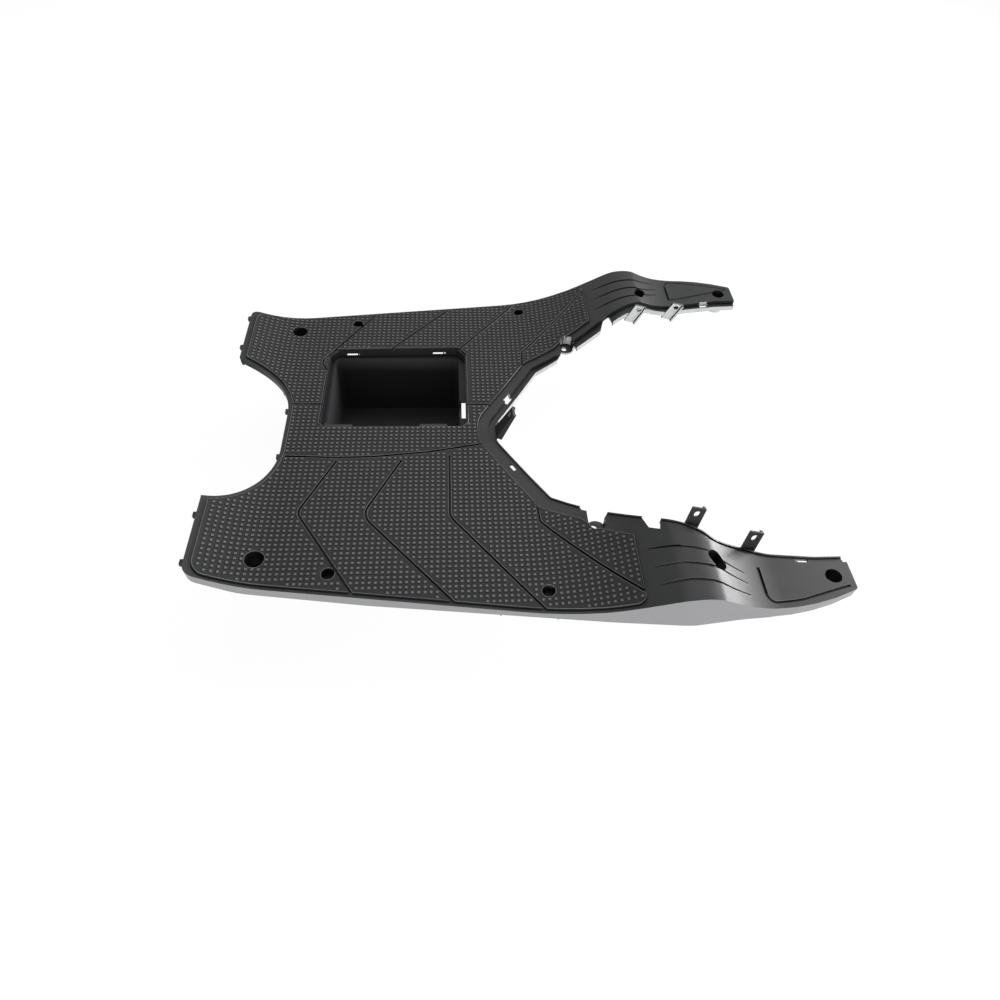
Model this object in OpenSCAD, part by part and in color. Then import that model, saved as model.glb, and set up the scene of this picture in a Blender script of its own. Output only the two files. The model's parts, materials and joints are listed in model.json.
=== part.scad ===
// Scooter floorboard, moulded in one piece: a treaded deck with a well for the battery, a skirt
// along the outer edges, and two arms that climb over a hump to flat plates at the rear.
// X runs rearwards, Y to the rider's right and Z up. The origin lies midway between the two
// front bolt holes, level with the tops of the tread pads.

/* [Moulding] */
// Thickness of the moulded skin
skin = 2.6; // [2:0.1:4]
// Thickness of the skirt
skirt_wall = 2.6; // [2:0.1:4]
// Thickness of the stiffening ribs underneath
rib_wall = 1.8; // [1.2:0.1:3]
// Depth of the stiffening ribs underneath
rib_depth = 8; // [4:0.5:10]
// Distance between the ribs that run across
rib_pitch_x = 55; // [40:1:80]
// Distance between the ribs that run lengthwise
rib_pitch_y = 48; // [35:1:70]

/* [Side profile] */
// From the front bolts forward to the front edge
front_reach = 61; // [56:1:64]
// Radius of the front ramp
ramp_r = 160; // [150:1:180]
// Slope of the front ramp at its top, in degrees
ramp_angle = 28.4; // [20:0.2:30]
// From the foot of the front ramp back to the foot of the hump
flat_len = 247; // [240:1:252]
// Radius at the foot of the hump
foot_r = 260; // [240:1:280]
// Slope of the hump's front flank, in degrees
flank_angle = 25.2; // [22:0.2:28]
// Straight length of the front flank
flank_len = 35.2; // [30:0.2:42]
// Radius of the crest
crest_r = 60; // [50:1:70]
// Slope where the crest turns into the sharper brow, in degrees
brow_start = 9.6; // [4:0.2:14]
// Radius of the brow
brow_r = 20; // [16:1:30]
// Slope of the fall behind the brow, in degrees
fall_angle = 27.5; // [22:0.5:32]
// Radius of the dip behind the fall
dip_r = 118; // [105:1:130]
// Slope of the rear plate, in degrees
plate_angle = 1.9; // [0:0.1:4]
// From the front bolts back to the rear end
rear_reach = 579; // [572:1:590]

/* [Outline] */
// Half width of the deck at the front edge
front_half_w = 201.5; // [197:0.5:206]
// Half width at the widest point of the arms
wide_half_w = 259.4; // [256:0.5:262]
// From the front bolts back to where the straight sides would meet the widest line
flare_x = 416; // [400:1:425]
// Radius between the straight sides and the widest line
flare_r = 1200; // [800:10:1250]
// From the front bolts back to where the widest line would meet the taper
taper_x = 536; // [530:1:540]
// Radius between the widest line and the taper
taper_r = 205; // [150:5:210]
// Half width at the rear end
rear_half_w = 241; // [238:0.5:244]
// Radius of the outer corners at the front
front_corner_r = 11; // [7:0.5:16]
// Radius of the outer corners at the rear
rear_corner_r = 3; // [2:0.5:4]
// Middle of the front cut-out, behind the front bolts
cutout_x = 3.5; // [0:0.5:6]
// Half width of the straight middle of the front cut-out
cutout_half_flat = 29; // [24:1:34]
// Radius of the front cut-out's two rounded sides
cutout_r = 80; // [74:1:84]

/* [Tread] */
// Height of the tread pads above the plain border
pad_h = 2.6; // [1:0.1:4]
// Width of the grooves between the pads
groove_w = 3.2; // [2:0.1:6]
// Plain border along the outer edge
outer_border = 4.5; // [3:0.5:8]
// Plain border along the front edge and the front cut-out
front_border = 5.5; // [3:0.5:8]
// Plain border along the rear cut-out
inner_border = 12.5; // [8:0.5:16]
// Plain border round the battery well
well_border = 2; // [1:0.5:6]
// From the front bolts back to the end of the tread
tread_end = 375; // [355:1:378]
// Corner radius of the last pads
pad_corner_r = 8; // [4:1:12]

/* [Rail] */
// Depth of the channel below the deck
channel_depth = 4.2; // [2:0.1:6]
// Thickness of the lip on the outside of the channel
lip_wall = 1.6; // [1.2:0.1:2.5]
// Height of the lip above the floor of the channel
lip_rise = 1.4; // [0.6:0.1:3]
// Depth of the lip below the floor of the channel
lip_drop = 4.5; // [3:0.5:8]
// Length of a snap slot in the channel
snap_len = 12.5; // [8:0.5:16]

/* [Battery well] */
// Front end of the well's rim, behind the front bolts
well_x = 43; // [38:1:50]
// Length of the rim along X
well_len = 170; // [165:1:176]
// Near side of the rim, to the right of the middle
well_y = 6.5; // [4:0.5:12]
// Width of the rim along Y
well_w = 138; // [130:1:142]
// Chamfer of the rim's two far corners
well_chamfer = 11; // [6:1:16]
// Depth of the recess for the lid
lid_depth = 12; // [10:0.5:16]
// Width of the ledge that the lid rests on
ledge_w = 5; // [4:0.5:8]
// Width of the ledge at the rear side, which the cables cross
cable_ledge_w = 8; // [6:0.5:12]
// Depth of the battery box below the pads
well_depth = 100; // [80:1:120]
// Inner corner radius of the battery box
box_corner_r = 6; // [3:0.5:12]
// Length of the lid's latch slots
latch_len = 16; // [10:0.5:22]
// Height of the lid's latch slots
latch_h = 4.4; // [3:0.1:6]
// Length of the cable outlet beside the box
cable_len = 29; // [20:1:40]

/* [Fixings] */
// Diameter of the front bolt recesses
front_recess_d = 20; // [16:0.5:26]
// Diameter of the front bolt holes
front_hole_d = 8.5; // [6:0.5:12]
// Half the distance between the front bolts
front_bolt_y = 177; // [165:0.5:185]
// Depth of the front bolt recesses
front_recess_depth = 27; // [20:1:35]
// Diameter of the screw recesses
screw_recess_d = 14; // [11:0.5:18]
// Diameter of the screw holes
screw_hole_d = 5.5; // [4:0.1:7]
// Depth of the screw recesses
screw_recess_depth = 7; // [5:0.5:12]
// Diameter of the recesses at the arm ends
end_recess_d = 16; // [12:0.5:20]
// Depth of the recesses in the arms
arm_recess_depth = 20; // [14:1:24]
// Width of the slanted recesses behind the crest
slant_w = 13; // [10:0.5:16]
// Travel of the slanted recesses, from the middle of one end to the middle of the other
slant_len = 9.4; // [6:0.2:14]
// Diameter of the screw holes in the arms
arm_hole_d = 6.5; // [5:0.5:8]
// Diameter of the locating holes in the ears
ear_hole_d = 7; // [5:0.5:9]
// Radius of the pocket above an ear
ear_pocket_r = 8.5; // [7:0.5:11]

/* [Tabs] */
// Thickness of the upright tabs
tab_wall = 2.4; // [2:0.1:3.5]
// Width of the tabs on the arms
tab_w = 15; // [12:0.5:18]
// Diameter of the holes in the tabs
tab_hole_d = 7; // [5:0.5:9]
// Depth of the rib along a tab's edge
tab_rib = 4; // [2:0.5:6]
// Height of the tab in the middle of the rear cut-out
centre_tab_h = 38; // [28:1:44]
// Width of the middle tab at its top
centre_tab_w = 14; // [12:0.5:18]
// Lean of the middle tab towards the rear, in degrees
centre_tab_lean = 28; // [15:1:35]
// Reach of the hooks on the front edge
hook_len = 4; // [3:0.5:6]
// Width of the hooks on the front edge
hook_w = 6; // [4:0.5:9]

/* [Hidden] */
$fn = 48;

flat_z = -pad_h;
tall = 200;
eps = 0.5;
facet = 5;

// Side view of the deck from the front edge rearwards. Each piece is [0, length] for a straight
// run or [radius, angle] for a bend, where a positive radius bends upwards.
deck_track = [
    [ramp_r, ramp_angle],
    [0, flat_len],
    [foot_r, flank_angle],
    [0, flank_len],
    [-crest_r, flank_angle + brow_start],
    [-brow_r, fall_angle - brow_start],
    [dip_r, fall_angle + plate_angle],
    [0, rear_reach / 2]
];

// Place and heading where piece i of the track starts
function start_of(i) = i == 0
    ? [-front_reach, flat_z + ramp_r * (1 - cos(ramp_angle)), -ramp_angle]
    : let (p = start_of(i - 1), s = deck_track[i - 1], turn = s.x == 0 ? 0 : sign(s.x) * s.y)
      s.x == 0 ? [p.x + s.y * cos(p.z), p.y + s.y * sin(p.z), p.z]
      : [p.x - s.x * sin(p.z) + s.x * sin(p.z + turn), p.y + s.x * cos(p.z) - s.x * cos(p.z + turn), p.z + turn];

// Points of piece i, one for each small turn
function points_of(i) = let (p = start_of(i), s = deck_track[i], n = ceil(s.y / facet))
    s.x == 0 ? [[p.x, p.y]] : [for (k = [0 : n - 1]) let (h = p.z + sign(s.x) * s.y * k / n)
        [p.x - s.x * sin(p.z) + s.x * sin(h), p.y + s.x * cos(p.z) - s.x * cos(h)]];

function ahead(p, d) = [p.x + d * cos(p.z), p.y + d * sin(p.z)];

// Plain surface of the deck seen from the side, a little longer than the deck at both ends
track_end = len(deck_track) - 1;
deck_line = concat([ahead(start_of(0), -20)], [for (i = [0 : track_end]) each points_of(i)],
    [ahead(start_of(track_end), deck_track[track_end].y)]);

function deck_z(x) = lookup(x, deck_line);

// Solid of a side view, as wide as the part and more
module slab() rotate([90, 0, 0]) linear_extrude(2 * (wide_half_w + 20), center = true) children();

module prism() translate([0, 0, -tall]) linear_extrude(2 * tall) children();

// Solid that follows the deck between two heights, cut to an outline seen from above
module follow(low, high) intersection() {
    slab() polygon(concat(shifted(deck_line, high), reversed(shifted(deck_line, low))));
    prism() children();
}

function reversed(p) = [for (i = [len(p) - 1 : -1 : 0]) p[i]];

// Half outline and its mirror image as one outline
function closed(p) = concat(p, [for (q = reversed(p)) if (q.y > 0) [q.x, -q.y]]);

// Arc that rounds the corner b between a and c
function corner(a, b, c, r) =
    let (u = (a - b) / norm(a - b), v = (c - b) / norm(c - b), half = acos(u * v) / 2,
         m = (u + v) / norm(u + v), o = b + m * r / sin(half), sweep = 180 - 2 * half,
         side = sign(u.x * v.y - u.y * v.x), n = min(5, max(2, ceil(sweep / 6))))
    [for (i = [0 : n]) let (g = side * sweep * (0.5 - i / n))
        o - r * [m.x * cos(g) - m.y * sin(g), m.x * sin(g) + m.y * cos(g)]];

// Path of [x, y, radius] points with its corners rounded, open at its ends
function rounded(p) = [for (i = [0 : len(p) - 1])
    let (b = [p[i].x, p[i].y], r = len(p[i]) > 2 ? p[i].z : 0)
    each i == 0 || i == len(p) - 1 || r == 0 ? [b]
        : corner([p[i - 1].x, p[i - 1].y], b, [p[i + 1].x, p[i + 1].y], r)];

function left(v) = [-v.y, v.x] / norm(v);

// Path moved sideways, to its left where d is positive
function shifted(p, d) = [for (i = [0 : len(p) - 1])
    let (b = i < len(p) - 1 ? left(p[i + 1] - p[i]) : left(p[i] - p[i - 1]),
         a = i > 0 ? left(p[i] - p[i - 1]) : b, m = a + b)
    p[i] + m * 2 * d / (m * m)];

function part_of(p, x0, x1) = [for (q = p) if (q.x >= x0 && q.x <= x1) q];

module strip(path, from, to) polygon(concat(shifted(path, from), reversed(shifted(path, to))));

module both() {
    children();
    mirror([0, 1, 0]) children();
}

// Outer edge, from the front cut-out round the front corner to the rear end
edge_end = 211;
cutout_end = cutout_half_flat + sqrt(cutout_r ^ 2 - (cutout_r - cutout_x - front_reach) ^ 2);
outer_path = rounded([
    [-front_reach, cutout_end + 1], [-front_reach, front_half_w, front_corner_r],
    [flare_x, wide_half_w, flare_r], [taper_x, wide_half_w, taper_r],
    [rear_reach, rear_half_w, rear_corner_r], [rear_reach, edge_end + 1]
]);

// Edge of the deck round the rear cut-out, from the middle to the rear end
deck_edge = rounded([[238, 0], [238, 14, 34], [297, 108, 12], [336, 128], [350, 143], [398, 171, 60],
    [442, 189.5, 50], [500, 203, 90], [548, 211, 90], [rear_reach, edge_end]]);

// Outside of the rail round the rear cut-out
rail_edge = rounded([[246.5, 0], [246.5, 12, 28], [302, 101, 10], [331, 118.4], [357, 133], [388, 149.5],
    [404, 158], [424, 168.5], [453, 185, 24], [482, 190, 50], [506, 197, 60], [550, 202, 90],
    [rear_reach - 2, 202.5]]);

// Stretches of the rail and of the deck edge beside them, between the ear and the notch
rail_spans = [[-1, 332, -1, 337], [356, 389, 349, 396], [403, rear_reach, 400, rear_reach + 1]];

// Lower edge of the skirt and the line under the deck's skin, both seen from the side
skirt_line = rounded([[-front_reach - 5, 6], [-14, -13.5, 60], [110, -16], [330, -8.4], [428, -6.4, 30],
    [470, 6.5, 60], [500, 11.8, 60], [rear_reach + 5, 18]]);
under_line = shifted(deck_line, -skin / 2);

// Grooves of the chevrons: top end, apex with its radius, and end at the outer border
chevrons = [
    [[68, 47], [33.5, 119.5, 14], [98, 218]],
    [[139.5, 47], [101, 124, 18], [198, 232]],
    [[192.5, 40], [192.5, 127, 18], [286, 243]],
    [[285, 111], [286.5, 136, 8], [383, 246]]
];
centre_groove = [[10, -40], [65, -42.5], [110, -41.5], [170, -35], [246, -20]];
far_groove_y = 43;
far_groove_len = 34;

// Grooves on the rise and the fall of the arms, as points of [x, y, width]
flutes = [
    [[385, 191, 0.6], [400, 193.4, 2.4], [414, 196.5, 3], [441, 203.8, 2]],
    [[386.5, 212.5, 0.6], [400, 213.6, 2.4], [415, 215.5, 3.2], [436.5, 220, 3], [448, 222.4, 2.4], [474, 233.5, 0.8]],
    [[387.5, 233, 0.6], [401, 233.3, 2.4], [416, 234.2, 3.2], [436.5, 237, 3], [473, 246.2, 0.8]],
    [[452, 212, 2.4], [473, 221.7, 0.8]]
];
flute_depth = 1.5;

// Outline of the raised panel on the rear plates, and the step round it
panel_edge = rounded([[490.5, 214], [490.5, 252.2, 8], [522, 249.5, 60], [573, 236]]);
panel_h = 0.9;
panel_step = 2.6;

ear = [342.5, 143.9];
ear_z = 0.5;
ear_floor = 2.6;
pocket_x = 2;
pocket_y = 3;
screws = [[73, 195], [288, 220]];
arm_end = [560.5, 226.4];
slant = [446.4, 212.6];
slant_angle = 65;
tab_bases = [[430.5, 170, 30], [486.5, 191, 19]];
tab_tops = [27, 26];
tab_foot = 6;
tab_lean = 17;
tab_skew = 14;
centre_tab_x = 248;
centre_tab_foot = 9.5;
gusset = 8;
centre_tab_hole_d = 5;
lid_lips = [[48, 80], [158, 190]];
lid_lip_reach = 8;
lip_thick = 2;
latches = [70, 180];
latch_z = -9.2;
cable_y = 30;
cable_drop = 10;
bead_h = 1;
bead_w = 1.4;
bead_gap = 0.8;
hooks_at = [[-front_reach, 187.6], [-front_reach, 130.4], [cutout_x, 36]];
hook_drop = 4;
front_pad_x = -front_reach + 7.5;
hook_thick = 2;
snaps = [[263.7, 55.3, 57, 7], [537.5, 206.6, 4, 6]];
screw_boss = 9;

// Front cut-out, larger by grow
module cutout(grow) {
    for (s = [-1, 1]) translate([cutout_x - cutout_r, s * cutout_half_flat]) circle(r = cutout_r + grow, $fn = 180);
    translate([cutout_x - 2 * cutout_r, -cutout_half_flat]) square([2 * cutout_r + grow, 2 * cutout_half_flat]);
}

// The whole outline of the deck, without the rail
module deck_plan() difference() {
    polygon(closed(concat(outer_path, reversed(deck_edge))));
    cutout(0);
}

// Rim of the well, larger by grow on every side
module well_rim(grow) {
    x0 = well_x - grow;
    x1 = well_x + well_len + grow;
    y0 = well_y - grow;
    y1 = well_y + well_w + grow;
    polygon([[x0 + 7, y0], [x1 - 7, y0], [x1, y0 + 7], [x1, y1 - well_chamfer],
        [x1 - well_chamfer, y1 + 2], [x0 + well_chamfer, y1 - 2], [x0, y1 - well_chamfer], [x0, y0 + 7]]);
}

// Inside of the battery box, larger by grow on every side
module well_box(grow) {
    x0 = well_x + ledge_w - grow;
    x1 = well_x + well_len - cable_ledge_w + grow;
    y0 = well_y + ledge_w - grow;
    y1 = well_y + well_w - ledge_w + grow;
    r = box_corner_r + grow;
    polygon(rounded([[x0 + 2 * r + 1, y0], [x1, y0, r], [x1, y1, r], [x0, y1, r], [x0, y0, r], [x0 + 2 * r, y0]]));
}

module grooves() {
    both() for (g = chevrons) strip(rounded(g), -groove_w / 2, groove_w / 2);
    strip(centre_groove, -groove_w / 2, groove_w / 2);
    translate([0, far_groove_y - groove_w / 2]) square([well_x, groove_w]);
    translate([well_x + well_len, far_groove_y - 2 - groove_w / 2]) square([far_groove_len, groove_w]);
}

module tread_area() difference() {
    deck_plan();
    cutout(front_border);
    both() {
        strip(outer_path, 1, -outer_border);
        strip(deck_edge, -1, inner_border);
    }
    translate([-front_reach - 1, -wide_half_w]) square([front_pad_x + front_reach + 1, 2 * wide_half_w]);
    translate([tread_end, -wide_half_w]) square([rear_reach, 2 * wide_half_w]);
    well_rim(well_border);
    grooves();
    both() {
        cut_off([front_pad_x, 100], [front_pad_x, 198.6], [100, 217.2], 15);
        cut_off([tread_end, 100], [tread_end, 249.4], [200, 229], pad_corner_r);
    }
}

// What rounds the corner b of a pad
module cut_off(a, b, c, r) polygon(concat([b], corner(a, b, c, r)));

module deck() difference() {
    union() {
        follow(-skin, 0) deck_plan();
        follow(-skin / 2, pad_h) tread_area();
        follow(-skin / 2, panel_h) both() polygon(panel_edge);
    }
    follow(-flute_depth, skin) both() {
        for (f = flutes) tapered(f);
        strip(panel_edge, 0, panel_step);
    }
}

// Strip along points of [x, y, width]
module tapered(f) {
    path = [for (q = f) [q.x, q.y]];
    sides = shifted(path, 1);
    polygon(concat([for (i = [0 : len(f) - 1]) path[i] + (sides[i] - path[i]) * f[i].z / 2],
        reversed([for (i = [0 : len(f) - 1]) path[i] - (sides[i] - path[i]) * f[i].z / 2])));
}

// Walls that hang from the outer edge and from the front cut-out
module skirt() {
    intersection() {
        slab() polygon(concat(skirt_line, reversed(under_line)));
        prism() both() strip(outer_path, 0, -skirt_wall);
    }
    follow(-rib_depth, -eps) intersection() {
        deck_plan();
        cutout(skirt_wall);
    }
}

// Channel round the rear cut-out, with the wall up to the deck and the lip on its outside
module rail() both() for (s = rail_spans) {
    lip = part_of(rail_edge, s[0], s[1]);
    edge = part_of(deck_edge, s[2], s[3]);
    follow(-channel_depth - skin, -channel_depth)
        polygon(concat(shifted(lip, lip_wall / 2), reversed(shifted(edge, skin / 2))));
    follow(-channel_depth - lip_drop, lip_rise - channel_depth) strip(lip, 0, lip_wall);
}

module rail_wall() both() follow(-channel_depth - skin * 0.4, -eps) strip(deck_edge, 0, skin);

module snap_slots() both() for (s = snaps) translate([s.x, s.y, -tall]) rotate(s.z)
    translate([-snap_len / 2, -s[3] / 2, 0]) cube([snap_len, s[3], 2 * tall]);

// Recess for the lid, its ledge and the box for the battery
module well() {
    translate([0, 0, -lid_depth - skin]) linear_extrude(lid_depth + skin + flat_z) well_rim(skin);
    translate([0, 0, -well_depth - skin]) linear_extrude(well_depth + skin - lid_depth) well_box(skin);
}

module well_hollow() {
    difference() {
        translate([0, 0, -lid_depth]) linear_extrude(tall) well_rim(0);
        translate([0, 0, -lid_depth - eps]) linear_extrude(bead_h + eps) difference() {
            well_box(bead_gap + bead_w);
            well_box(bead_gap);
        }
        for (x = lid_lips) translate([x[0], well_y - eps, flat_z - lip_thick])
            cube([x[1] - x[0], lid_lip_reach + eps, lip_thick]);
    }
    translate([0, 0, -well_depth]) linear_extrude(tall) well_box(0);
    for (x = latches) translate([x - latch_len / 2, well_y + well_w - 2 * skin, latch_z - latch_h / 2])
        cube([latch_len, 6 * skin, latch_h]);
    translate([well_x + well_len - cable_ledge_w - 1, cable_y, -lid_depth - cable_drop])
        cube([cable_ledge_w + 0.4, cable_len, 2 * cable_drop]);
}

// Cup that hangs from the deck round a recess
module cup(p, d, depth) translate([p.x, p.y, deck_z(p.x) - depth - skin])
    cylinder(d = d + 2 * skin, h = depth + skin - eps);

module recess(p, d, depth, hole_d) {
    translate([p.x, p.y, deck_z(p.x) - depth]) cylinder(d = d, h = tall);
    translate([p.x, p.y, deck_z(p.x) - depth - 2 * skin]) cylinder(d = hole_d, h = tall);
}

// Upright prism with two round ends, in the direction of the slanted recess
module slant_prism(w, low, h) translate([slant.x, slant.y, deck_z(slant.x) - low]) rotate(slant_angle) {
    for (s = [-1, 1]) translate([s * slant_len / 2, 0, 0]) cylinder(d = w, h = h);
    translate([-slant_len / 2, -w / 2, 0]) cube([slant_len, w, h]);
}

module bosses() both() {
    cup([0, front_bolt_y], front_recess_d, front_recess_depth);
    for (p = screws) {
        cup(p, screw_recess_d, screw_recess_depth);
        translate([p.x, p.y, deck_z(p.x) - screw_recess_depth - skin - screw_boss])
            cylinder(d = screw_hole_d + 2 * skin, h = screw_boss + 1);
    }
    cup(arm_end, end_recess_d, arm_recess_depth);
    intersection() {
        union() {
            slant_prism(slant_w + 2 * skin, arm_recess_depth + skin, tall);
            translate([ear.x + pocket_x, ear.y + pocket_y, ear_z - ear_floor]) cylinder(r = ear_pocket_r + skin, h = tall);
            translate([ear.x, ear.y, ear_z - ear_floor]) cylinder(d = ear_hole_d + 3, h = ear_floor);
        }
        slab() polygon(concat([[300, -30], [500, -30]], [for (q = reversed(under_line)) if (q.x > 300 && q.x < 500) q]));
    }
}

module recesses() both() {
    recess([0, front_bolt_y], front_recess_d, front_recess_depth, front_hole_d);
    for (p = screws) {
        recess(p, screw_recess_d, screw_recess_depth, screw_hole_d);
        translate([p.x, p.y, -tall / 2]) cylinder(d = screw_hole_d, h = tall / 2);
    }
    recess(arm_end, end_recess_d, arm_recess_depth, arm_hole_d);
    slant_prism(slant_w, arm_recess_depth, tall);
    translate([slant.x, slant.y, 0]) cylinder(d = arm_hole_d, h = tall);
    translate([ear.x + pocket_x, ear.y + pocket_y, ear_z]) cylinder(r = ear_pocket_r, h = tall);
    translate([ear.x + pocket_x - ear_pocket_r, ear.y - 27, ear_z]) cube([2 * ear_pocket_r, 30, tall]);
    translate([ear.x, ear.y, -tall / 2]) cylinder(d = ear_hole_d, h = tall);
}

// Upright tab with a rib along its rear edge
module tab(w, h) {
    translate([-w / 2, -tab_wall / 2, -tab_foot]) cube([w, tab_wall, h + tab_foot]);
    translate([w / 2 - tab_wall, -tab_rib, -tab_foot]) cube([tab_wall, tab_rib, h + tab_foot]);
}

module on_arm(i) translate(tab_bases[i]) rotate([tab_lean, tab_skew, 0]) children();

module arm_tabs() both() for (i = [0, 1]) on_arm(i) tab(tab_w, tab_tops[i]);

module arm_tab_holes() both() for (i = [0, 1]) on_arm(i)
    translate([0, tab_wall, tab_tops[i] - tab_hole_d]) rotate([90, 0, 0]) cylinder(d = tab_hole_d, h = 3 * tab_wall);

module on_vertex() translate([centre_tab_x, 0, flat_z - 2]) rotate([0, centre_tab_lean, 0]) children();

module centre_tab() on_vertex() {
    translate([-tab_wall / 2, 0, 0]) rotate([90, 0, 90]) linear_extrude(tab_wall)
        polygon([[-centre_tab_foot, -3], [centre_tab_foot, -3], [centre_tab_w / 2, centre_tab_h],
            [-centre_tab_w / 2, centre_tab_h]]);
    for (s = [-1, 1]) translate([0, s * (centre_tab_w - tab_wall) / 2, 0]) rotate([90, 0, 0])
        linear_extrude(tab_wall, center = true)
        polygon([[0, -3], [gusset, -3], [tab_wall, centre_tab_h], [0, centre_tab_h]]);
}

module centre_tab_hole() on_vertex() translate([-2 * tab_wall, 0, centre_tab_h - 7]) rotate([0, 90, 0])
    cylinder(d = centre_tab_hole_d, h = 4 * tab_wall);

module hooks() both() for (p = hooks_at) translate([p.x - hook_len, p.y - hook_w / 2, deck_z(p.x) - hook_drop]) {
    cube([hook_len + hook_thick, hook_w, hook_thick]);
    translate([0, 0, -hook_thick]) cube([hook_thick, hook_w, 2 * hook_thick]);
}

// Grid of ribs under the flat part of the deck and the rise of the arms
module ribs() follow(-skin - rib_depth, -skin / 2) difference() {
    intersection() {
        deck_plan();
        union() {
            for (x = [20 : rib_pitch_x : 480]) translate([x, -wide_half_w]) square([rib_wall, 2 * wide_half_w]);
            for (y = [22 : rib_pitch_y : wide_half_w]) both() translate([-front_reach, y])
                square([front_reach + 480, rib_wall]);
        }
    }
    both() strip(deck_edge, -1, inner_border);
}

module floorboard() color([0.17, 0.175, 0.18]) difference() {
    union() {
        deck();
        skirt();
        rail();
        rail_wall();
        well();
        bosses();
        arm_tabs();
        centre_tab();
        hooks();
        ribs();
    }
    well_hollow();
    recesses();
    arm_tab_holes();
    centre_tab_hole();
    snap_slots();
}

floorboard();
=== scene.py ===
import json
import math
import bpy
from mathutils import Matrix, Vector
from mathutils.bvhtree import BVHTree

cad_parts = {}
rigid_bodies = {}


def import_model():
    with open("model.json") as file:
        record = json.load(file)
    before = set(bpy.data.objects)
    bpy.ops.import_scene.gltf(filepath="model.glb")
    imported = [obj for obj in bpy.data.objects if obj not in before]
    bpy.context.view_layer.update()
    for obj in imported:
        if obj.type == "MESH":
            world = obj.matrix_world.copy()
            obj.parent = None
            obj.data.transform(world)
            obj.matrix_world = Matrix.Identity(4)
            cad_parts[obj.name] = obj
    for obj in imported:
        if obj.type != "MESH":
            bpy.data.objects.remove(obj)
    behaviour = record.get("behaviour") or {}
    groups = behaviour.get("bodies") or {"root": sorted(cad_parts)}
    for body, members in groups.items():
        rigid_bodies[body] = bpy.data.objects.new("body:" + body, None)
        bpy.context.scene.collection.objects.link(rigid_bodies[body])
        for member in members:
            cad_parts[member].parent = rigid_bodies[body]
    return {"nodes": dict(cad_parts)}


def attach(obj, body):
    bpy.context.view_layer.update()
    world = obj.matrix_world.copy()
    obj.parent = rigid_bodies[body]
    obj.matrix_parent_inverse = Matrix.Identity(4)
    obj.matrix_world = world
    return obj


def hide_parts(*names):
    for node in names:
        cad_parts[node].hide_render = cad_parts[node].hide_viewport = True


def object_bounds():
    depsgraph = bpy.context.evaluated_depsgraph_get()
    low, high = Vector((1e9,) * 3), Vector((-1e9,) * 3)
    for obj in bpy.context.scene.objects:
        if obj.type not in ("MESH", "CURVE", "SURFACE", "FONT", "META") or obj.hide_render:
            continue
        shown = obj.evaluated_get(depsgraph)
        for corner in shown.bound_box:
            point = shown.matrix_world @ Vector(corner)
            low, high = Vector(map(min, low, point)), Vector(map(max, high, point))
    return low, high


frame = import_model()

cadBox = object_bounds()
mm = 0.001


def deselectAll():
    for obj in bpy.context.view_layer.objects:
        obj.select_set(False)


def makeActive(obj):
    deselectAll()
    obj.select_set(True)
    bpy.context.view_layer.objects.active = obj


def applyModifiers(obj):
    makeActive(obj)
    for mod in list(obj.modifiers):
        bpy.ops.object.modifier_apply(modifier=mod.name)


# Camera, standing in front of the near side and looking down on the deck
viewSettings = {
    "place": (0.19726, -0.56411, 0.57886),
    "right": (0.997737, -0.050459, 0.044438),
    "forward": (0.066169, 0.619522, -0.782185),
    "lens": 24.84,
    "sensor": 36.0,
}


def addCamera():
    right = Vector(viewSettings["right"]).normalized()
    back = -Vector(viewSettings["forward"]).normalized()
    up = back.cross(right)
    camData = bpy.data.cameras.new("mainCamera")
    camData.lens = viewSettings["lens"]
    camData.sensor_width = viewSettings["sensor"]
    camData.clip_start = 0.01
    cam = bpy.data.objects.new("mainCamera", camData)
    bpy.context.scene.collection.objects.link(cam)
    turn = Matrix((right, up, back)).transposed().to_4x4()
    cam.matrix_world = Matrix.Translation(viewSettings["place"]) @ turn
    bpy.context.scene.camera = cam


addCamera()
print("camera placed")


# Shader helpers
def addNode(tree, kind, values=None, **settings):
    node = tree.nodes.new(kind)
    for key, value in settings.items():
        setattr(node, key, value)
    for key, value in (values or {}).items():
        node.inputs[key].default_value = value
    return node


def newGroup(name, inputs, outputs):
    tree = bpy.data.node_groups.new(name, "ShaderNodeTree")
    for label, kind, value in inputs:
        socket = tree.interface.new_socket(label, in_out="INPUT", socket_type=kind)
        if value is not None:
            socket.default_value = value
    for label, kind in outputs:
        tree.interface.new_socket(label, in_out="OUTPUT", socket_type=kind)
    return tree, tree.nodes.new("NodeGroupInput"), tree.nodes.new("NodeGroupOutput")


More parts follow.
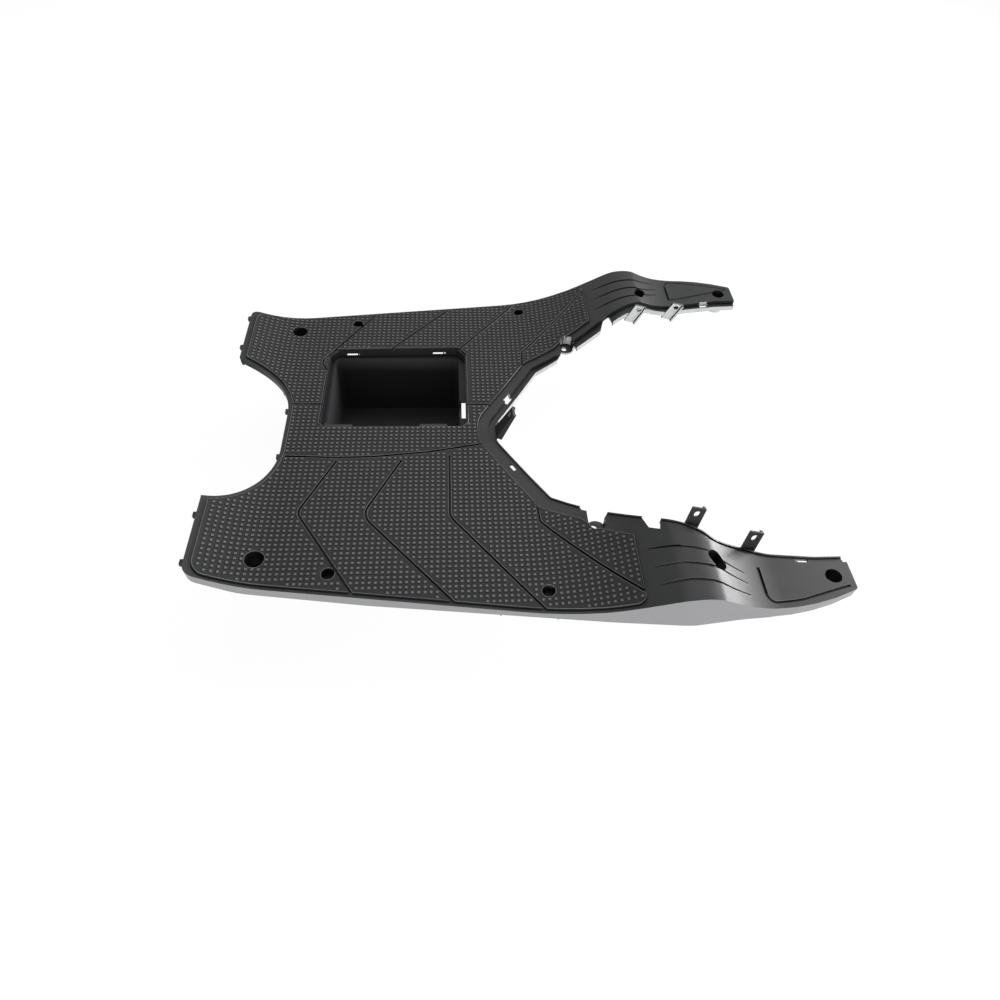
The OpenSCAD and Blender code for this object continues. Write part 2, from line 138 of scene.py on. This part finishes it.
def makeMouldGrain():
    # Fine pebbled grain of the mould, with a slow change of colour and gloss
    tree, start, end = newGroup(
        "mouldGrain",
        [("Color", "NodeSocketColor", None), ("Grain Scale", "NodeSocketFloat", 1400.0),
         ("Grain Depth", "NodeSocketFloat", 0.3), ("Roughness", "NodeSocketFloat", 0.5),
         ("Variation", "NodeSocketFloat", 0.12)],
        [("Color", "NodeSocketColor"), ("Roughness", "NodeSocketFloat"), ("Normal", "NodeSocketVector")])
    link = tree.links.new
    coord = addNode(tree, "ShaderNodeTexCoord")
    cells = addNode(tree, "ShaderNodeTexVoronoi", {"Randomness": 1.0}, feature="SMOOTH_F1")
    link(coord.outputs["Object"], cells.inputs["Vector"])
    link(start.outputs["Grain Scale"], cells.inputs["Scale"])
    fine = addNode(tree, "ShaderNodeTexNoise", {"Scale": 2600.0, "Detail": 2.0, "Roughness": 0.6})
    link(coord.outputs["Object"], fine.inputs["Vector"])
    height = addNode(tree, "ShaderNodeMath", operation="ADD")
    link(cells.outputs["Distance"], height.inputs[0])
    link(fine.outputs["Fac"], height.inputs[1])
    bump = addNode(tree, "ShaderNodeBump", {"Distance": 0.0002})
    link(start.outputs["Grain Depth"], bump.inputs["Strength"])
    link(height.outputs[0], bump.inputs["Height"])
    slow = addNode(tree, "ShaderNodeTexNoise", {"Scale": 26.0, "Detail": 4.0, "Roughness": 0.55})
    link(coord.outputs["Object"], slow.inputs["Vector"])
    centred = addNode(tree, "ShaderNodeMath", {1: 0.5}, operation="SUBTRACT")
    link(slow.outputs["Fac"], centred.inputs[0])
    scaled = addNode(tree, "ShaderNodeMath", operation="MULTIPLY")
    link(centred.outputs[0], scaled.inputs[0])
    link(start.outputs["Variation"], scaled.inputs[1])
    bright = addNode(tree, "ShaderNodeMath", {1: 1.0}, operation="ADD")
    link(scaled.outputs[0], bright.inputs[0])
    tone = addNode(tree, "ShaderNodeVectorMath", operation="SCALE")
    link(start.outputs["Color"], tone.inputs[0])
    link(bright.outputs[0], tone.inputs["Scale"])
    rough = addNode(tree, "ShaderNodeMath", operation="ADD", use_clamp=True)
    link(start.outputs["Roughness"], rough.inputs[0])
    link(scaled.outputs[0], rough.inputs[1])
    link(tone.outputs[0], end.inputs["Color"])
    link(rough.outputs[0], end.inputs["Roughness"])
    link(bump.outputs["Normal"], end.inputs["Normal"])
    return tree


handlingSettings = {
    "marksFrom": 0.58,
    "marksFull": 0.8,
    "dustColor": (0.16, 0.16, 0.155, 1.0),
    "dustRough": 0.25,
}


def makeHandling():
    # Faint rub marks and dust that lighten the plastic here and there
    tree, start, end = newGroup(
        "handlingMarks",
        [("Color", "NodeSocketColor", None), ("Roughness", "NodeSocketFloat", 0.5),
         ("Amount", "NodeSocketFloat", 0.3)],
        [("Color", "NodeSocketColor"), ("Roughness", "NodeSocketFloat")])
    link = tree.links.new
    coord = addNode(tree, "ShaderNodeTexCoord")
    rubbing = {"Scale": (14.0, 60.0, 30.0), "Rotation": (0.0, 0.0, 0.5)}
    stretch = addNode(tree, "ShaderNodeMapping", rubbing)
    link(coord.outputs["Object"], stretch.inputs["Vector"])
    marks = addNode(tree, "ShaderNodeTexNoise", {"Scale": 3.0, "Detail": 6.0, "Roughness": 0.7})
    link(stretch.outputs["Vector"], marks.inputs["Vector"])
    ramp = addNode(tree, "ShaderNodeValToRGB")
    ramp.color_ramp.elements[0].position = handlingSettings["marksFrom"]
    ramp.color_ramp.elements[1].position = handlingSettings["marksFull"]
    link(marks.outputs["Fac"], ramp.inputs["Fac"])
    amount = addNode(tree, "ShaderNodeMath", operation="MULTIPLY")
    link(ramp.outputs["Color"], amount.inputs[0])
    link(start.outputs["Amount"], amount.inputs[1])
    mix = addNode(tree, "ShaderNodeMix", data_type="RGBA")
    mix.inputs[7].default_value = handlingSettings["dustColor"]
    link(amount.outputs[0], mix.inputs[0])
    link(start.outputs["Color"], mix.inputs[6])
    rough = addNode(tree, "ShaderNodeMath", {2: 0.0}, operation="MULTIPLY_ADD", use_clamp=True)
    rough.inputs[1].default_value = handlingSettings["dustRough"]
    link(amount.outputs[0], rough.inputs[0])
    link(start.outputs["Roughness"], rough.inputs[2])
    link(mix.outputs[2], end.inputs["Color"])
    link(rough.outputs[0], end.inputs["Roughness"])
    return tree


mouldGrain = makeMouldGrain()
handlingMarks = makeHandling()

# Finishes: colour, roughness, grain size and depth, specular level, rub marks
finishes = {
    "treadPlastic": {"color": (0.0125, 0.013, 0.013), "rough": 0.5, "scale": 1500.0,
                     "depth": 0.3, "spec": 0.13, "marks": 0.06},
    # Lighter stud tops: a painted highlight
    "studTopPaintedHighlight": {"color": (0.056, 0.058, 0.057), "rough": 0.4, "scale": 2400.0,
                    "depth": 0.2, "spec": 0.3, "marks": 0.1},
    # Lighter beads: a painted highlight along the pad edges
    "beadPaintedHighlight": {"color": (0.042, 0.043, 0.043), "rough": 0.35, "scale": 2400.0,
                    "depth": 0.1, "spec": 0.35, "marks": 0.0},
    "borderPlastic": {"color": (0.0095, 0.01, 0.0105), "rough": 0.38, "scale": 1900.0,
                      "depth": 0.25, "spec": 0.2, "marks": 0.08},
    # Lighter skirt: a painted reflection of the bright floor and front light on the outward faces
    "skirtPaintedReflection": {"color": (0.11, 0.111, 0.114), "rough": 0.32, "scale": 2100.0,
                     "depth": 0.15, "spec": 0.7, "marks": 0.1},
    # Near-white far lips and tabs: a painted reflection
    "lipPaintedReflection": {"color": (0.28, 0.283, 0.287), "rough": 0.32, "scale": 2100.0,
                   "depth": 0.12, "spec": 0.7, "marks": 0.05},
    # Lighter deep well: painted light in its shade
    "wellPaintedFillLight": {"color": (0.026, 0.026, 0.028), "rough": 0.5, "scale": 1700.0,
                    "depth": 0.2, "spec": 0.16, "marks": 0.0},
    # Near-black holes and well ledge: painted shade
    "recessPaintedShade": {"color": (0.008, 0.008, 0.008), "rough": 0.5, "scale": 1700.0,
                      "depth": 0.2, "spec": 0.14, "marks": 0.0},
    # Grooves and stud sides: painted shade
    "paintedShadeMatt": {"color": (0.015, 0.015, 0.015), "rough": 0.7, "scale": 1700.0,
                      "depth": 0.3, "spec": 0.18, "marks": 0.0},
}


def makeFinish(name):
    look = finishes[name]
    mat = bpy.data.materials.new(name)
    mat.use_nodes = True
    tree = mat.node_tree
    shader = tree.nodes["Principled BSDF"]
    shader.inputs["Specular IOR Level"].default_value = look["spec"]
    grain = addNode(tree, "ShaderNodeGroup")
    grain.node_tree = mouldGrain
    grain.inputs["Color"].default_value = look["color"] + (1.0,)
    grain.inputs["Grain Scale"].default_value = look["scale"]
    grain.inputs["Grain Depth"].default_value = look["depth"]
    grain.inputs["Roughness"].default_value = look["rough"]
    marks = addNode(tree, "ShaderNodeGroup")
    marks.node_tree = handlingMarks
    marks.inputs["Amount"].default_value = look["marks"]
    tree.links.new(grain.outputs["Color"], marks.inputs["Color"])
    tree.links.new(grain.outputs["Roughness"], marks.inputs["Roughness"])
    tree.links.new(marks.outputs["Color"], shader.inputs["Base Color"])
    tree.links.new(marks.outputs["Roughness"], shader.inputs["Roughness"])
    tree.links.new(grain.outputs["Normal"], shader.inputs["Normal"])
    return mat


plastics = {name: makeFinish(name) for name in finishes}
print("finishes made")

# The deck seen from the side, as runs of [radius, angle or length], from the front edge rearwards
deckSettings = {
    "frontX": -61.0,
    "frontSlope": -28.4,
    "flatZ": -2.6,
    "padHeight": 2.6,
    "facet": 5.0,
    "track": [(160.0, 28.4), (0.0, 247.0), (260.0, 25.2), (0.0, 35.2), (-60.0, 34.8), (-20.0, 17.9),
              (118.0, 29.4), (0.0, 200.0)],
    "treadEnd": 376.0,
    "rayFrom": 200.0,
}


def makeDeckLine():
    # Points of the side profile with the true slope there, each arc as short flat facets
    slope = math.radians(deckSettings["frontSlope"])
    x = deckSettings["frontX"]
    z = deckSettings["flatZ"] + deckSettings["track"][0][0] * (1 - math.cos(slope))
    points = [(x, z, slope)]
    for radius, run in deckSettings["track"]:
        steps = math.ceil(run / deckSettings["facet"]) if radius else 1
        for step in range(steps):
            if radius:
                turned = slope + math.copysign(math.radians(run / steps), radius)
                x += radius * (math.sin(turned) - math.sin(slope))
                z += radius * (math.cos(slope) - math.cos(turned))
                slope = turned
            else:
                x += run * math.cos(slope)
                z += run * math.sin(slope)
            points.append((x, z, slope))
    return points


deckLine = makeDeckLine()


def alongDeck(x, column):
    index = 0
    while index < len(deckLine) - 2 and x > deckLine[index + 1][0]:
        index += 1
    low, high = deckLine[index], deckLine[index + 1]
    return low[column] + (high[column] - low[column]) * (x - low[0]) / (high[0] - low[0])


def deckHeight(x):
    return alongDeck(x, 1)


def deckRise(x):
    # Rise of the faceted deck per millimetre
    return (deckHeight(x + 1) - deckHeight(x - 1)) / 2


def makeSolidTree():
    mesh = frame["nodes"]["floorboard"].data
    return BVHTree.FromPolygons([v.co for v in mesh.vertices], [p.vertices[:] for p in mesh.polygons])


solidTree = makeSolidTree()


def topAt(x, y):
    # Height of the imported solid's top there, or None beside it
    start = Vector((x * mm, y * mm, deckSettings["rayFrom"] * mm))
    hit = solidTree.ray_cast(start, Vector((0, 0, -1)))[0]
    return None if hit is None else hit.z / mm


# The moulding itself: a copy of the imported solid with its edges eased
shellFinishes = ["borderPlastic", "treadPlastic", "skirtPaintedReflection", "lipPaintedReflection", "wellPaintedFillLight",
                 "recessPaintedShade", "paintedShadeMatt"]
shellSettings = {
    "mergeDistance": 0.00001,
    "flatAngle": 0.4,
    "edgeRadius": 0.00035,
    "edgeSteps": 2,
    "edgeAngle": 32.0,
    "smoothAngle": 28.0,
    "evenWeight": 60,
    "roundAngle": 6.0,
    "uprightNormal": 0.5,
    "wellBox": ((43.0, 213.0), (6.5, 147.0)),
    "wellLift": -0.5,
    "holes": [(0.0, 177.0, 13.0), (73.0, 195.0, 9.5), (288.0, 220.0, 9.5), (560.5, 226.4, 10.5),
              (446.4, 212.6, 12.5)],
    "holeLift": -0.8,
    "padLift": 1.56,
    "skirtFrom": 195.0,
    "skirtLift": 0.2,
    "ledgeLift": -15.0,
    "lipLift": -3.5,
    "tabLean": 0.2,
    "lipFrom": 240.0,
}


def makeShell():
    source = frame["nodes"]["floorboard"]
    shell = source.copy()
    shell.data = source.data.copy()
    shell.name = "floorboardShell"
    # The copy drops the tags that the frame set on its node
    for key in list(shell.keys()):
        del shell[key]
    shell.parent = None
    bpy.context.scene.collection.objects.link(shell)
    makeActive(shell)
    bpy.ops.object.mode_set(mode="EDIT")
    bpy.ops.mesh.select_all(action="SELECT")
    bpy.ops.mesh.remove_doubles(threshold=shellSettings["mergeDistance"])
    bpy.ops.mesh.dissolve_limited(angle_limit=math.radians(shellSettings["flatAngle"]))
    bpy.ops.mesh.select_all(action="DESELECT")
    bpy.ops.object.mode_set(mode="OBJECT")
    return shell


def finishOf(face):
    # Which finish a face gets, by its place and the way it faces; several are lighter or darker copies of the
    # one plastic that paint reflection, light or shade
    x, y, z = (value / mm for value in face.center)
    lift = z - deckHeight(max(x, deckSettings["frontX"]))
    (wellX0, wellX1), (wellY0, wellY1) = shellSettings["wellBox"]
    if wellX0 < x < wellX1 and wellY0 < y < wellY1 and lift < shellSettings["wellLift"]:
        # The well's upper ledge gets a near-black painted shade, the deep part a lighter finish as painted
        # light
        return "recessPaintedShade" if lift > shellSettings["ledgeLift"] else "wellPaintedFillLight"
    # Recesses round the holes get a near-black painted shade
    for holeX, holeY, reach in shellSettings["holes"]:
        if math.hypot(x - holeX, abs(y) - holeY) < reach and lift < shellSettings["holeLift"]:
            return "recessPaintedShade"
    upright = shellSettings["uprightNormal"]
    onTread = x < deckSettings["treadEnd"]
    if face.normal.z > upright and lift > shellSettings["padLift"] and onTread:
        return "treadPlastic"
    outside = abs(y) > shellSettings["skirtFrom"] and face.normal.y * y > 0
    if abs(face.normal.z) < upright:
        leant = abs(face.normal.z) > shellSettings["tabLean"]
        # Inward faces of the far arm, lips and tabs, get a near-white finish, a painted reflection
        farInside = x > shellSettings["lipFrom"] and y > 0 and face.normal.y < -upright
        if farInside and (leant or lift < shellSettings["lipLift"]):
            return "lipPaintedReflection"
        # Groove walls on the tread get a dark painted shade
        if onTread and 0 < lift < deckSettings["padHeight"] and not outside:
            return "paintedShadeMatt"
        # Outward faces of the skirt get a lighter finish, a painted reflection
        if outside and lift < shellSettings["skirtLift"]:
            return "skirtPaintedReflection"
    return "borderPlastic"


def paintShell(shell):
    shell.data.materials.clear()
    for name in shellFinishes:
        shell.data.materials.append(plastics[name])
    for face in shell.data.polygons:
        face.material_index = shellFinishes.index(finishOf(face))


def easeShell(shell):
    bevel = shell.modifiers.new("easedEdges", "BEVEL")
    bevel.width = shellSettings["edgeRadius"]
    bevel.segments = shellSettings["edgeSteps"]
    bevel.limit_method = "ANGLE"
    bevel.angle_limit = math.radians(shellSettings["edgeAngle"])
    bevel.use_clamp_overlap = True
    applyModifiers(shell)
    bpy.ops.object.shade_smooth_by_angle(angle=math.radians(shellSettings["smoothAngle"]))
    evened = shell.modifiers.new("evenShading", "WEIGHTED_NORMAL")
    evened.mode = "FACE_AREA"
    evened.weight = shellSettings["evenWeight"]
    evened.keep_sharp = True
    applyModifiers(shell)
    roundDeck(shell)


def roundDeck(shell):
    # The flat facets of the deck are shaded as the true curve
    mesh = shell.data
    normals = [corner.vector.copy() for corner in mesh.corner_normals]
    for loop in mesh.loops:
        slope = alongDeck(mesh.vertices[loop.vertex_index].co.x / mm, 2)
        upright = Vector((-math.sin(slope), 0, math.cos(slope)))
        if normals[loop.index].angle(upright) < math.radians(shellSettings["roundAngle"]):
            normals[loop.index] = upright
    mesh.normals_split_custom_set(normals)


# Fine bead all round each tread pad, in a lighter finish that paints a highlight along the pad edges
beadSettings = {"radius": 0.45, "steps": 1, "smoothAngle": 60.0}


def makeBeads(shell):
    rims = {}
    tread = shellFinishes.index("treadPlastic")
    for face in shell.data.polygons:
        if face.material_index == tread:
            for key in face.edge_keys:
                rims[key] = rims.get(key, 0) + 1
    beads = shell.copy()
    beads.data = shell.data.copy()
    beads.name = "padBeads"
    bpy.context.scene.collection.objects.link(beads)
    makeActive(beads)
    bpy.ops.object.mode_set(mode="EDIT")
    bpy.ops.mesh.select_mode(type="EDGE")
    bpy.ops.mesh.select_all(action="SELECT")
    bpy.ops.mesh.delete(type="ONLY_FACE")
    bpy.ops.object.mode_set(mode="OBJECT")
    for edge in beads.data.edges:
        edge.select = rims.get(edge.key, 0) != 1
    bpy.ops.object.mode_set(mode="EDIT")
    bpy.ops.mesh.delete(type="EDGE")
    bpy.ops.mesh.select_all(action="SELECT")
    bpy.ops.mesh.delete_loose(use_verts=True, use_edges=False, use_faces=False)
    bpy.ops.object.mode_set(mode="OBJECT")
    bpy.ops.object.convert(target="CURVE")
    beads.data.bevel_depth = beadSettings["radius"] * mm
    beads.data.bevel_resolution = beadSettings["steps"]
    bpy.ops.object.convert(target="MESH")
    beads.data.materials.clear()
    beads.data.materials.append(plastics["beadPaintedHighlight"])
    bpy.ops.object.shade_smooth_by_angle(angle=math.radians(beadSettings["smoothAngle"]))
    print("beads:", len(beads.data.polygons), "faces")
    return beads


shell = makeShell()
paintShell(shell)
beads = makeBeads(shell)
easeShell(shell)
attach(beads, "root")
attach(shell, "root")
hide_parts("floorboard")
print("shell:", len(shell.data.polygons), "faces")

# Thin dark matt sheets on the floors of the grooves and flutes, a painted shade, along points of [x, y,
# radius of the bend] or [x, y, width]
grooveSettings = {
    "width": 3.0,
    "step": 3.0,
    "flat": 0.06,
    "beside": 2.6,
    "lift": 0.05,
    "tolerance": 0.35,
    "bendSteps": 6,
    "chevrons": [
        [(68, 47), (33.5, 119.5, 14), (98, 218)],
        [(139.5, 47), (101, 124, 18), (198, 232)],
        [(192.5, 40), (192.5, 127, 18), (286, 243)],
        [(285, 111), (286.5, 136, 8), (383, 246)],
    ],
    "middle": [
        [(10, -40), (65, -42.5), (110, -41.5), (170, -35), (246, -20)],
        [(-8, 43), (43, 43)],
        [(212, 41), (248, 41)],
    ],
    "flutesFrom": 383.0,
    "fluteDepth": 1.5,
    "flutes": [
        [(385, 191, 0.6), (400, 193.4, 2.4), (414, 196.5, 3), (441, 203.8, 2)],
        [(386.5, 212.5, 0.6), (400, 213.6, 2.4), (415, 215.5, 3.2), (436.5, 220, 3), (448, 222.4, 2.4),
         (474, 233.5, 0.8)],
        [(387.5, 233, 0.6), (401, 233.3, 2.4), (416, 234.2, 3.2), (436.5, 237, 3), (473, 246.2, 0.8)],
        [(452, 212, 2.4), (473, 221.7, 0.8)],
    ],
    "panelStep": [(489.2, 214, 2.6), (489.2, 250, 2.6), (492, 252.9, 2.6), (500, 252.9, 2.6),
                  (512, 251.8, 2.6), (530, 248.6, 2.6), (573, 237.3, 2.6)],
}


def roundPath(points):
    # Bends with a radius become short chords
    path = []
    for index, point in enumerate(points):
        here = Vector(point[:2])
        if len(point) < 3 or index in (0, len(points) - 1):
            path.append(here)
            continue
        back = (Vector(points[index - 1][:2]) - here).normalized()
        ahead = (Vector(points[index + 1][:2]) - here).normalized()
        half = back.angle(ahead) / 2
        middle = here + (back + ahead).normalized() * point[2] / math.sin(half)
        start = here + back * point[2] / math.tan(half)
        turn = math.copysign(math.pi - 2 * half, (-back).cross(ahead))
        steps = grooveSettings["bendSteps"]
        for step in range(steps + 1):
            arm = start - middle
            arm.rotate(Matrix.Rotation(turn * step / steps, 2))
            path.append(middle + arm)
    return path


def sampleWidths(points):
    # Points every few millimetres along a path of [x, y, width]
    samples = []
    for (x0, y0, w0), (x1, y1, w1) in zip(points, points[1:]):
        count = max(1, round(math.hypot(x1 - x0, y1 - y0) / grooveSettings["step"]))
        for i in range(count):
            samples.append((x0 + (x1 - x0) * i / count, y0 + (y1 - y0) * i / count,
                            w0 + (w1 - w0) * i / count))
    return samples + [points[-1]]


def liesAt(x, y, lift):
    # True where the top of the moulding stands that far above or below the plain deck
    top = topAt(x, y)
    if top is None:
        return False
    slope = math.atan(deckRise(x))
    return abs(top - deckHeight(x) - lift / math.cos(slope)) < grooveSettings["tolerance"]


def floorRuns(samples, depth):
    # Stretches of a path whose middle lies on the floor, for a tread groove with a pad beside it
    runs = [[]]
    for index, (x, y, width) in enumerate(samples):
        before, after = samples[max(index - 1, 0)], samples[min(index + 1, len(samples) - 1)]
        across = Vector((before[1] - after[1], after[0] - before[0])).normalized()
        across *= grooveSettings["beside"]
        sides = [(x + side * across.x, y + side * across.y) for side in (-1, 1)]
        besidePad = depth > 0 or any(liesAt(*spot, deckSettings["padHeight"]) for spot in sides)
        if besidePad and liesAt(x, y, -depth):
            runs[-1].append((x, y, width))
        elif runs[-1]:
            runs.append([])
    return [run for run in runs if len(run) > 1]


def makeGrooves():
    width = grooveSettings["width"]
    paths = []
    for side in (-1, 1):
        for points in grooveSettings["chevrons"]:
            paths.append(([(p.x, side * p.y, width) for p in roundPath(points)], 0.0))
        for points in grooveSettings["flutes"] + [grooveSettings["panelStep"]]:
            paths.append(([(x, side * y, w) for x, y, w in points], grooveSettings["fluteDepth"]))
    for points in grooveSettings["middle"]:
        paths.append(([(x, y, width) for x, y in points], 0.0))
    drawn = bpy.data.curves.new("grooveShadeSheets", "CURVE")
    drawn.dimensions = "3D"
    drawn.bevel_depth = width / 2 * mm
    drawn.bevel_resolution = 1
    drawn.use_fill_caps = True
    for points, depth in paths:
        for run in floorRuns(sampleWidths(points), depth):
            spline = drawn.splines.new("POLY")
            spline.points.add(len(run) - 1)
            for point, (x, y, wide) in zip(spline.points, run):
                point.co = (x * mm, y * mm, 0.0, 1.0)
                point.radius = wide / width
    floors = bpy.data.objects.new("grooveShadeSheets", drawn)
    bpy.context.scene.collection.objects.link(floors)
    makeActive(floors)
    bpy.ops.object.convert(target="MESH")
    for vert in floors.data.vertices:
        x, y, z = vert.co
        deep = grooveSettings["fluteDepth"] if x / mm > grooveSettings["flutesFrom"] else 0.0
        slope = math.atan(deckRise(x / mm))
        level = deckHeight(x / mm) - deep / math.cos(slope) + grooveSettings["lift"]
        vert.co.z = level * mm + z * grooveSettings["flat"]
    floors.data.materials.append(plastics["paintedShadeMatt"])
    print("groove floors:", len(floors.data.polygons), "faces")
    return floors


grooveShadeSheets = makeGrooves()
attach(grooveShadeSheets, "root")

# Small raised studs all over the tread pads
studSettings = {
    "pitch": (6.0, 5.8),
    "foot": 3.9,
    "top": 2.3,
    "height": 1.0,
    "sink": 0.25,
    "clear": 1.6,
    "xRange": (-54.0, 374.0),
    "yRange": (-253.0, 253.0),
    "flatness": 0.2,
    "slopeSlack": 0.6,
    "corners": 8,
    "topNormal": 0.9,
}


def makeStudGrid():
    deselectAll()
    foot = studSettings["foot"] * mm
    low, high = -studSettings["sink"] * mm, studSettings["height"] * mm
    bpy.ops.mesh.primitive_cube_add(size=1, location=(0, 0, (low + high) / 2), scale=(foot, foot, high - low))
    stud = bpy.context.active_object
    stud.name = "treadStuds"
    bpy.ops.object.transform_apply(location=True, rotation=True, scale=True)
    bpy.ops.object.mode_set(mode="EDIT")
    bpy.ops.mesh.select_mode(type="VERT")
    bpy.ops.mesh.select_all(action="DESELECT")
    bpy.ops.object.mode_set(mode="OBJECT")
    for vert in stud.data.vertices:
        vert.select = vert.co.z > 0
    bpy.ops.object.mode_set(mode="EDIT")
    shrink = studSettings["top"] / studSettings["foot"]
    bpy.ops.transform.resize(value=(shrink, shrink, 1))
    bpy.ops.object.mode_set(mode="OBJECT")
    # The stud sides get a dark painted shade and the tops a lighter painted highlight
    stud.data.materials.append(plastics["paintedShadeMatt"])
    stud.data.materials.append(plastics["studTopPaintedHighlight"])
    for face in stud.data.polygons:
        face.material_index = 1 if face.normal.z > studSettings["topNormal"] else 0
    x0, x1 = studSettings["xRange"]
    y0, y1 = studSettings["yRange"]
    for axis, start, end in ((0, x0, x1), (1, y0, y1)):
        array = stud.modifiers.new("row", "ARRAY")
        array.use_relative_offset = False
        array.use_constant_offset = True
        pitch = studSettings["pitch"][axis]
        array.constant_offset_displace = [pitch * mm if i == axis else 0 for i in range(3)]
        array.count = int((end - start) / pitch) + 1
    applyModifiers(stud)
    for vert in stud.data.vertices:
        vert.co.x += x0 * mm
        vert.co.y += y0 * mm
    return stud


def onPad(x, y):
    # The stud and a margin round it lie on the top of a pad
    reach = studSettings["clear"]
    for dx, dy in ((0, 0), (reach, reach), (-reach, reach), (reach, -reach), (-reach, -reach),
                   (reach, 0), (-reach, 0), (0, reach), (0, -reach)):
        top = topAt(x + dx, y + dy)
        if top is None:
            return False
        rise = deckRise(x + dx)
        want = deckHeight(x + dx) + deckSettings["padHeight"] * math.sqrt(1 + rise ** 2)
        if abs(top - want) > studSettings["flatness"] + studSettings["slopeSlack"] * abs(rise):
            return False
    return True


def placeStuds(stud):
    # The grid is cut back to the pads, and each stud follows the deck
    mesh = stud.data
    perStud = studSettings["corners"]
    makeActive(stud)
    bpy.ops.object.mode_set(mode="EDIT")
    bpy.ops.mesh.select_all(action="DESELECT")
    bpy.ops.object.mode_set(mode="OBJECT")
    for first in range(0, len(mesh.vertices), perStud):
        group = [mesh.vertices[first + i] for i in range(perStud)]
        cx = sum(v.co.x for v in group) / perStud / mm
        cy = sum(v.co.y for v in group) / perStud / mm
        keep = onPad(cx, cy)
        slope = math.atan(deckRise(cx))
        for vert in group:
            dx, lift = vert.co.x / mm - cx, vert.co.z / mm
            vert.co.x = (cx + dx * math.cos(slope) - lift * math.sin(slope)) * mm
            vert.co.z = (deckHeight(cx) + deckSettings["padHeight"] / math.cos(slope)
                         + dx * math.sin(slope) + lift * math.cos(slope)) * mm
            vert.select = not keep
    bpy.ops.object.mode_set(mode="EDIT")
    bpy.ops.mesh.delete(type="VERT")
    bpy.ops.mesh.select_all(action="SELECT")
    bpy.ops.mesh.normals_make_consistent(inside=False)
    bpy.ops.mesh.select_all(action="DESELECT")
    bpy.ops.object.mode_set(mode="OBJECT")
    print("studs:", len(mesh.vertices) // perStud)


studs = makeStudGrid()
placeStuds(studs)
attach(studs, "root")

# Floor, backdrop light and lamps
stageSettings = {
    "floorSize": 12.0,
    "floorGap": 0.0005,
    "floorColor": (0.86, 0.86, 0.86, 1.0),
    "floorRough": 0.9,
    "floorSpec": 0.1,
    "aim": (0.25, 0.0, 0.0),
    "shadowShare": 0.05,
    "worldLevel": 0.55,
}
lamps = {
    "frontSoft": {"place": (0.15, -2.6, 0.3), "size": (3.4, 0.7), "power": 113.0},
    "topSoft": {"place": (0.3, 1.2, 2.4), "size": (2.0, 1.6), "power": 32.0},
    "rearSoft": {"place": (2.25, 0.76, 0.42), "size": (1.3, 0.95), "power": 104.0},
    "plateSoft": {"place": (1.75, 0.7, 1.35), "size": (0.9, 0.9), "power": 20.0},
}


def whiteToCamera(tree, plainShader, share):
    # White where the camera or a reflection sees it, with a share of the plain shader kept for the shadow
    link = tree.links.new
    path = addNode(tree, "ShaderNodeLightPath")
    seen = addNode(tree, "ShaderNodeMath", operation="MAXIMUM")
    link(path.outputs["Is Camera Ray"], seen.inputs[0])
    link(path.outputs["Is Glossy Ray"], seen.inputs[1])
    seenToo = addNode(tree, "ShaderNodeMath", operation="MAXIMUM")
    link(seen.outputs[0], seenToo.inputs[0])
    link(path.outputs["Is Transmission Ray"], seenToo.inputs[1])
    fac = addNode(tree, "ShaderNodeMath", {1: 1.0 - share}, operation="MULTIPLY")
    link(seenToo.outputs[0], fac.inputs[0])
    white = addNode(tree, "ShaderNodeEmission", {"Color": (1, 1, 1, 1), "Strength": 1.0})
    mix = addNode(tree, "ShaderNodeMixShader")
    link(fac.outputs[0], mix.inputs["Fac"])
    link(plainShader, mix.inputs[1])
    link(white.outputs[0], mix.inputs[2])
    return mix.outputs[0]


def addFloor():
    deselectAll()
    low = cadBox[0][2] - stageSettings["floorGap"]
    centre = stageSettings["aim"][:2] + (low,)
    bpy.ops.mesh.primitive_plane_add(size=stageSettings["floorSize"], location=centre)
    floor = bpy.context.active_object
    floor.name = "studioFloor"
    mat = bpy.data.materials.new("paleFloor")
    mat.use_nodes = True
    tree = mat.node_tree
    shader = tree.nodes["Principled BSDF"]
    shader.inputs["Base Color"].default_value = stageSettings["floorColor"]
    shader.inputs["Roughness"].default_value = stageSettings["floorRough"]
    shader.inputs["Specular IOR Level"].default_value = stageSettings["floorSpec"]
    out = tree.nodes["Material Output"]
    surface = whiteToCamera(tree, shader.outputs[0], stageSettings["shadowShare"])
    tree.links.new(surface, out.inputs["Surface"])
    floor.data.materials.append(mat)


def addWorld():
    world = bpy.data.worlds.new("paleStudio")
    bpy.context.scene.world = world
    world.use_nodes = True
    tree = world.node_tree
    plain = tree.nodes["Background"]
    plain.inputs["Color"].default_value = (1, 1, 1, 1)
    plain.inputs["Strength"].default_value = stageSettings["worldLevel"]
    out = tree.nodes["World Output"]
    tree.links.new(whiteToCamera(tree, plain.outputs[0], 0.0), out.inputs["Surface"])


def addLamps():
    aim = Vector(stageSettings["aim"])
    for name, lamp in lamps.items():
        light = bpy.data.lights.new(name, "AREA")
        light.shape = "RECTANGLE"
        light.size, light.size_y = lamp["size"]
        light.energy = lamp["power"]
        obj = bpy.data.objects.new(name, light)
        bpy.context.scene.collection.objects.link(obj)
        place = Vector(lamp["place"])
        turn = (aim - place).to_track_quat("-Z", "Y").to_matrix().to_4x4()
        obj.matrix_world = Matrix.Translation(place) @ turn


addFloor()
addWorld()
addLamps()
bpy.context.scene.view_settings.view_transform = "Standard"
print("stage set")
